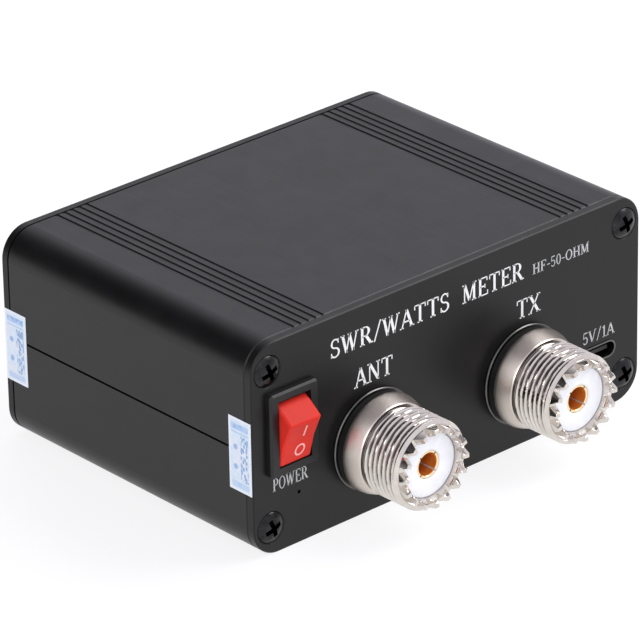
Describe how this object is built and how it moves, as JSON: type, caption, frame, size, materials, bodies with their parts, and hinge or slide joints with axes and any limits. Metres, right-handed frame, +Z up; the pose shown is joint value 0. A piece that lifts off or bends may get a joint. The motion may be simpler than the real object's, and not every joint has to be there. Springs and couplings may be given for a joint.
{
  "type": "swr meter",
  "caption": "Small in-line SWR and power meter in a black split aluminium case, with threaded coaxial sockets, a red rocker power switch and a charge socket.",
  "frame": {"origin": "centre of the case's underside", "axes": "+Z up, the connector plate faces -Y, +X to the right when looking at the connector plate (the power switch is at -X, the charge socket at +X)"},
  "size_m": [0.0881, 0.0791, 0.0383],
  "materials": {
    "brass": "plain",
    "case_black": "black anodised, fine satin",
    "chip_black": "moulded epoxy",
    "copper": "enamelled",
    "ferrite": "matte",
    "foam_grey": "closed-cell foam",
    "foil_silver": "pouch foil",
    "gold": "gold plate",
    "label_paper": "printed film",
    "lead_red": "insulation",
    "led_clear": "diffused",
    "nickel": "bright nickel plate",
    "oled_black": "gloss",
    "pcb_green": "solder mask",
    "plastic_white": "moulded",
    "plate_black": "black anodised, fine satin",
    "ptfe": "smooth",
    "rocker_red": "gloss",
    "rubber_black": "matte",
    "screw_black": "black oxide",
    "steel": "plain",
    "switch_black": "semi-gloss",
    "trim_blue": "moulded",
    "window_smoke": "clear, dark tint"
  },
  "bodies": {
    "case": {"ant_center_contact": "gold", "ant_flat_washer": "nickel", "ant_insulator": "ptfe", "ant_lock_washer": "nickel", "ant_nut": "nickel", "ant_seal_ring": "rubber_black", "ant_socket_body": "nickel", "battery_cell": "foil_silver", "battery_leads": "lead_red", "battery_pad": "foam_grey", "board_connectors": "plastic_white", "board_standoffs": "plastic_white", "charge_light": "led_clear", "charge_light_holder": "switch_black", "charger_board": "pcb_green", "charger_components": "chip_black", "connector_panel": "plate_black", "connector_panel_screws": "screw_black", "coupler_board": "pcb_green", "coupler_cable": "lead_red", "coupler_components": "chip_black", "current_transformer_core": "ferrite", "current_transformer_winding": "copper", "display_board": "pcb_green", "display_cable": "lead_red", "display_gasket": "rubber_black", "display_glass": "oled_black", "display_panel": "plate_black", "display_panel_screws": "screw_black", "display_studs": "steel", "display_window": "window_smoke", "line_sleeve": "ptfe", "lower_shell": "case_black", "main_board": "pcb_green", "microcontroller": "chip_black", "seal_label_front": "label_paper", "seal_label_rear": "label_paper", "signal_chips": "chip_black", "switch_housing": "switch_black", "switch_leads": "lead_red", "switch_terminals": "brass", "through_line": "copper", "trimmers": "trim_blue", "tx_center_contact": "gold", "tx_flat_washer": "nickel", "tx_insulator": "ptfe", "tx_lock_washer": "nickel", "tx_nut": "nickel", "tx_seal_ring": "rubber_black", "tx_socket_body": "nickel", "upper_shell": "case_black", "usb_socket_shell": "nickel", "usb_tongue": "chip_black", "voltage_transformer_core": "ferrite", "voltage_transformer_winding": "copper"},
    "rocker": {"switch_rocker": "rocker_red", "switch_plunger": "brass", "switch_spring": "steel"},
    "contact_blade": {"switch_contact_blade": "brass"}
  },
  "joints": [
    {"name": "rocker_tilt", "type": "hinge", "parent": "case", "child": "rocker", "pos_m": [-0.0357, -0.029, 0.0218], "axis": [-1, 0, 0], "range_deg": [0, 39]},
    {"name": "blade_tilt", "type": "hinge", "parent": "case", "child": "contact_blade", "pos_m": [-0.0357, -0.0223, 0.0218], "axis": [-1, 0, 0], "range_deg": [-17.2, 0]}
  ],
  "couplings": [
    {"joint": "blade_tilt", "follows": "rocker_tilt", "ratio": -0.44}
  ]
}
